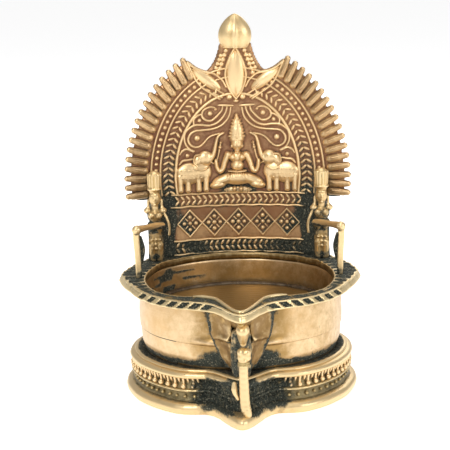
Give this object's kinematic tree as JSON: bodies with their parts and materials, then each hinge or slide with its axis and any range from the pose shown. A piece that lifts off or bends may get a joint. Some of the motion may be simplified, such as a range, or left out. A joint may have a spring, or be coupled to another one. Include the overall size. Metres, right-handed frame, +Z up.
{
  "type": "standing oil lamp",
  "caption": "Round spouted oil bowl on a moulded base with a prow, backed by an upright arched plate with raised relief; an elephant head carries the spout.",
  "frame": {"origin": "on the bowl's axis, at the level of the base's underside", "axes": "+Z up, the spout points to -Y, the back plate stands at +Y, +X to the right seen from the spout"},
  "size_m": [0.0906, 0.1053, 0.138],
  "materials": {
    "worn_brass": "hand-polished cast brass, dull in the hollows",
    "bowl_brass": "turned brass, warm brown tarnish",
    "grimy_brass": "dark, greenish-black grime over granular brass",
    "rim_brass": "worn brass with dark notches",
    "plate_brass": "reddish-brown patina",
    "relief_brass": "rubbed raised work, bright on top",
    "figure_brass": "rubbed cast figures, dark in the folds"
  },
  "bodies": {
    "root": {"arch_bead_row": "relief_brass", "arch_inner_wire": "relief_brass", "arch_leaf_pairs": "relief_brass", "arch_mid_wire": "relief_brass", "arch_outer_wire": "relief_brass", "back_plate": "plate_brass", "base_collar_ring": "worn_brass", "base_petal_band": "grimy_brass", "base_scotia_band": "grimy_brass", "base_torus": "worn_brass", "base_wire_ridge": "grimy_brass", "bowl_floor_disc": "bowl_brass", "bowl_wall": "worn_brass", "centre_leaf": "relief_brass", "diamond_lattice": "relief_brass", "diamond_studs": "relief_brass", "elephant_head": "worn_brass", "elephant_trunk": "worn_brass", "elephant_tusk": "worn_brass", "figure_crown": "relief_brass", "figure_seat": "relief_brass", "finial_bud": "relief_brass", "fleuron_foot_leaves": "relief_brass", "floor_seam_ring": "bowl_brass", "foot_crossbar": "relief_brass", "leaf_studs": "relief_brass", "left_arm_strut": "figure_brass", "left_attendant": "figure_brass", "left_ear": "worn_brass", "left_elephant": "relief_brass", "left_fins": "relief_brass", "left_leaf": "relief_brass", "left_scrolls": "relief_brass", "lower_crossbar": "relief_brass", "lower_leaf_band": "relief_brass", "middle_crossbar": "relief_brass", "neck_beads": "relief_brass", "opening_lip_bead": "rim_brass", "petal_drops": "relief_brass", "petal_short_stems": "relief_brass", "plinth_ring": "worn_brass", "right_arm_strut": "figure_brass", "right_attendant": "figure_brass", "right_ear": "worn_brass", "right_elephant": "relief_brass", "right_fins": "relief_brass", "right_leaf": "relief_brass", "right_scrolls": "relief_brass", "rim_flange": "rim_brass", "scotia_beads": "grimy_brass", "scroll_beads": "relief_brass", "seated_figure": "relief_brass", "trunk_collar": "worn_brass", "upper_chevron_band": "relief_brass", "upper_crossbar": "relief_brass"}
  },
  "joints": []
}
